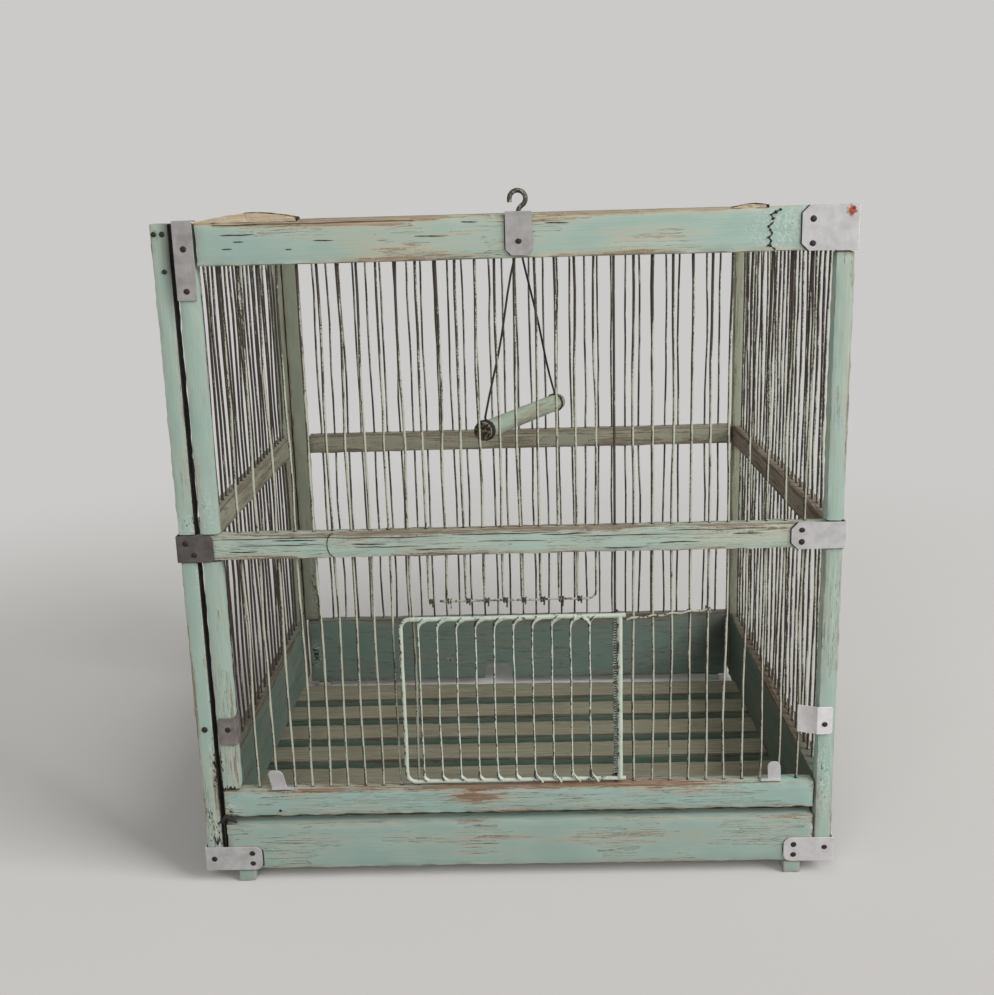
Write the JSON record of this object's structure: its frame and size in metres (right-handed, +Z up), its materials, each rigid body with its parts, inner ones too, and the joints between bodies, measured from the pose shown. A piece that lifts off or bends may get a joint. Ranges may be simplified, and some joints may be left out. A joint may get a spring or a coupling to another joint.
{
  "type": "canary breeding cage",
  "caption": "Box-shaped bird cage of painted sticks and drilled wire grilles, with a side-hinged wire door, a slatted floor, a top hook and a hanging swing perch.",
  "frame": {"origin": "middle of the cage's outline on the surface that its feet stand on", "axes": "+Z up, -Y out of the front with the door, +X to the right seen from the front"},
  "size_m": [0.4222, 0.3498, 0.454],
  "materials": {
    "green_paint": "worn pale sage-green paint on old softwood, bare at the edges",
    "inner_paint": "darker, dirtier green paint on old softwood",
    "grille_wood_and_wire": "weathered painted stick with drilled, painted steel wires",
    "floor_wood": "worn grey-brown slats with traces of paint",
    "tin": "dull sheet metal, scratched",
    "aged_tin": "dark stained sheet metal",
    "hook_iron": "old iron wire with worn paint",
    "swing_iron": "dark rusty iron wire",
    "perch_paint": "painted dowel",
    "door_paint": "thick chipped paint on steel wire"
  },
  "bodies": {
    "cage": {"post_front_left": "green_paint", "stile_front_left": "green_paint", "post_front_right": "green_paint", "top_rail_front": "green_paint", "front_bottom_rail": "green_paint", "front_board": "green_paint", "foot_front_left": "green_paint", "foot_front_right": "green_paint", "foot_back_left": "green_paint", "foot_back_right": "green_paint", "post_back_left": "inner_paint", "stile_back_left": "inner_paint", "post_back_right": "inner_paint", "top_rail_back": "inner_paint", "top_rail_left": "inner_paint", "top_rail_right": "inner_paint", "back_board": "inner_paint", "side_board_left": "inner_paint", "side_board_right": "inner_paint", "grille_front": "grille_wood_and_wire", "grille_back": "grille_wood_and_wire", "grille_left": "grille_wood_and_wire", "grille_right": "grille_wood_and_wire", "grille_top": "grille_wood_and_wire", "floor_slat_1": "floor_wood", "floor_slat_2": "floor_wood", "floor_slat_3": "floor_wood", "floor_slat_4": "floor_wood", "floor_slat_5": "floor_wood", "floor_slat_6": "floor_wood", "floor_slat_7": "floor_wood", "strap_top_left": "tin", "plate_top_centre": "tin", "plate_top_right": "tin", "plate_mid_right": "tin", "plate_bottom_right": "tin", "plate_bottom_left": "tin", "angle_left": "tin", "angle_right": "tin", "tab_left": "tin", "tab_right": "tin", "plate_mid_left": "aged_tin"},
    "door": {"door_frame": "door_paint", "door_hinge_sleeve": "door_paint"},
    "hook": {"hanging_hook": "hook_iron"},
    "swing": {"swing_wire": "swing_iron", "perch": "perch_paint"}
  },
  "joints": [
    {"name": "door_hinge", "type": "hinge", "parent": "cage", "child": "door", "pos_m": [0.06669, -0.16715, 0.127], "axis": [0, 0, 1], "range_deg": [0, 135]},
    {"name": "hook_swivel", "type": "hinge", "parent": "cage", "child": "hook", "pos_m": [0.01, 0.00085, 0.429], "axis": [0, 0, 1], "range_deg": [-180, 180]},
    {"name": "swing_pivot", "type": "hinge", "parent": "hook", "child": "swing", "pos_m": [0.01, 0.00085, 0.4145], "axis": [0.4226, 0.9063, 0], "range_deg": [-45, 45]}
  ]
}
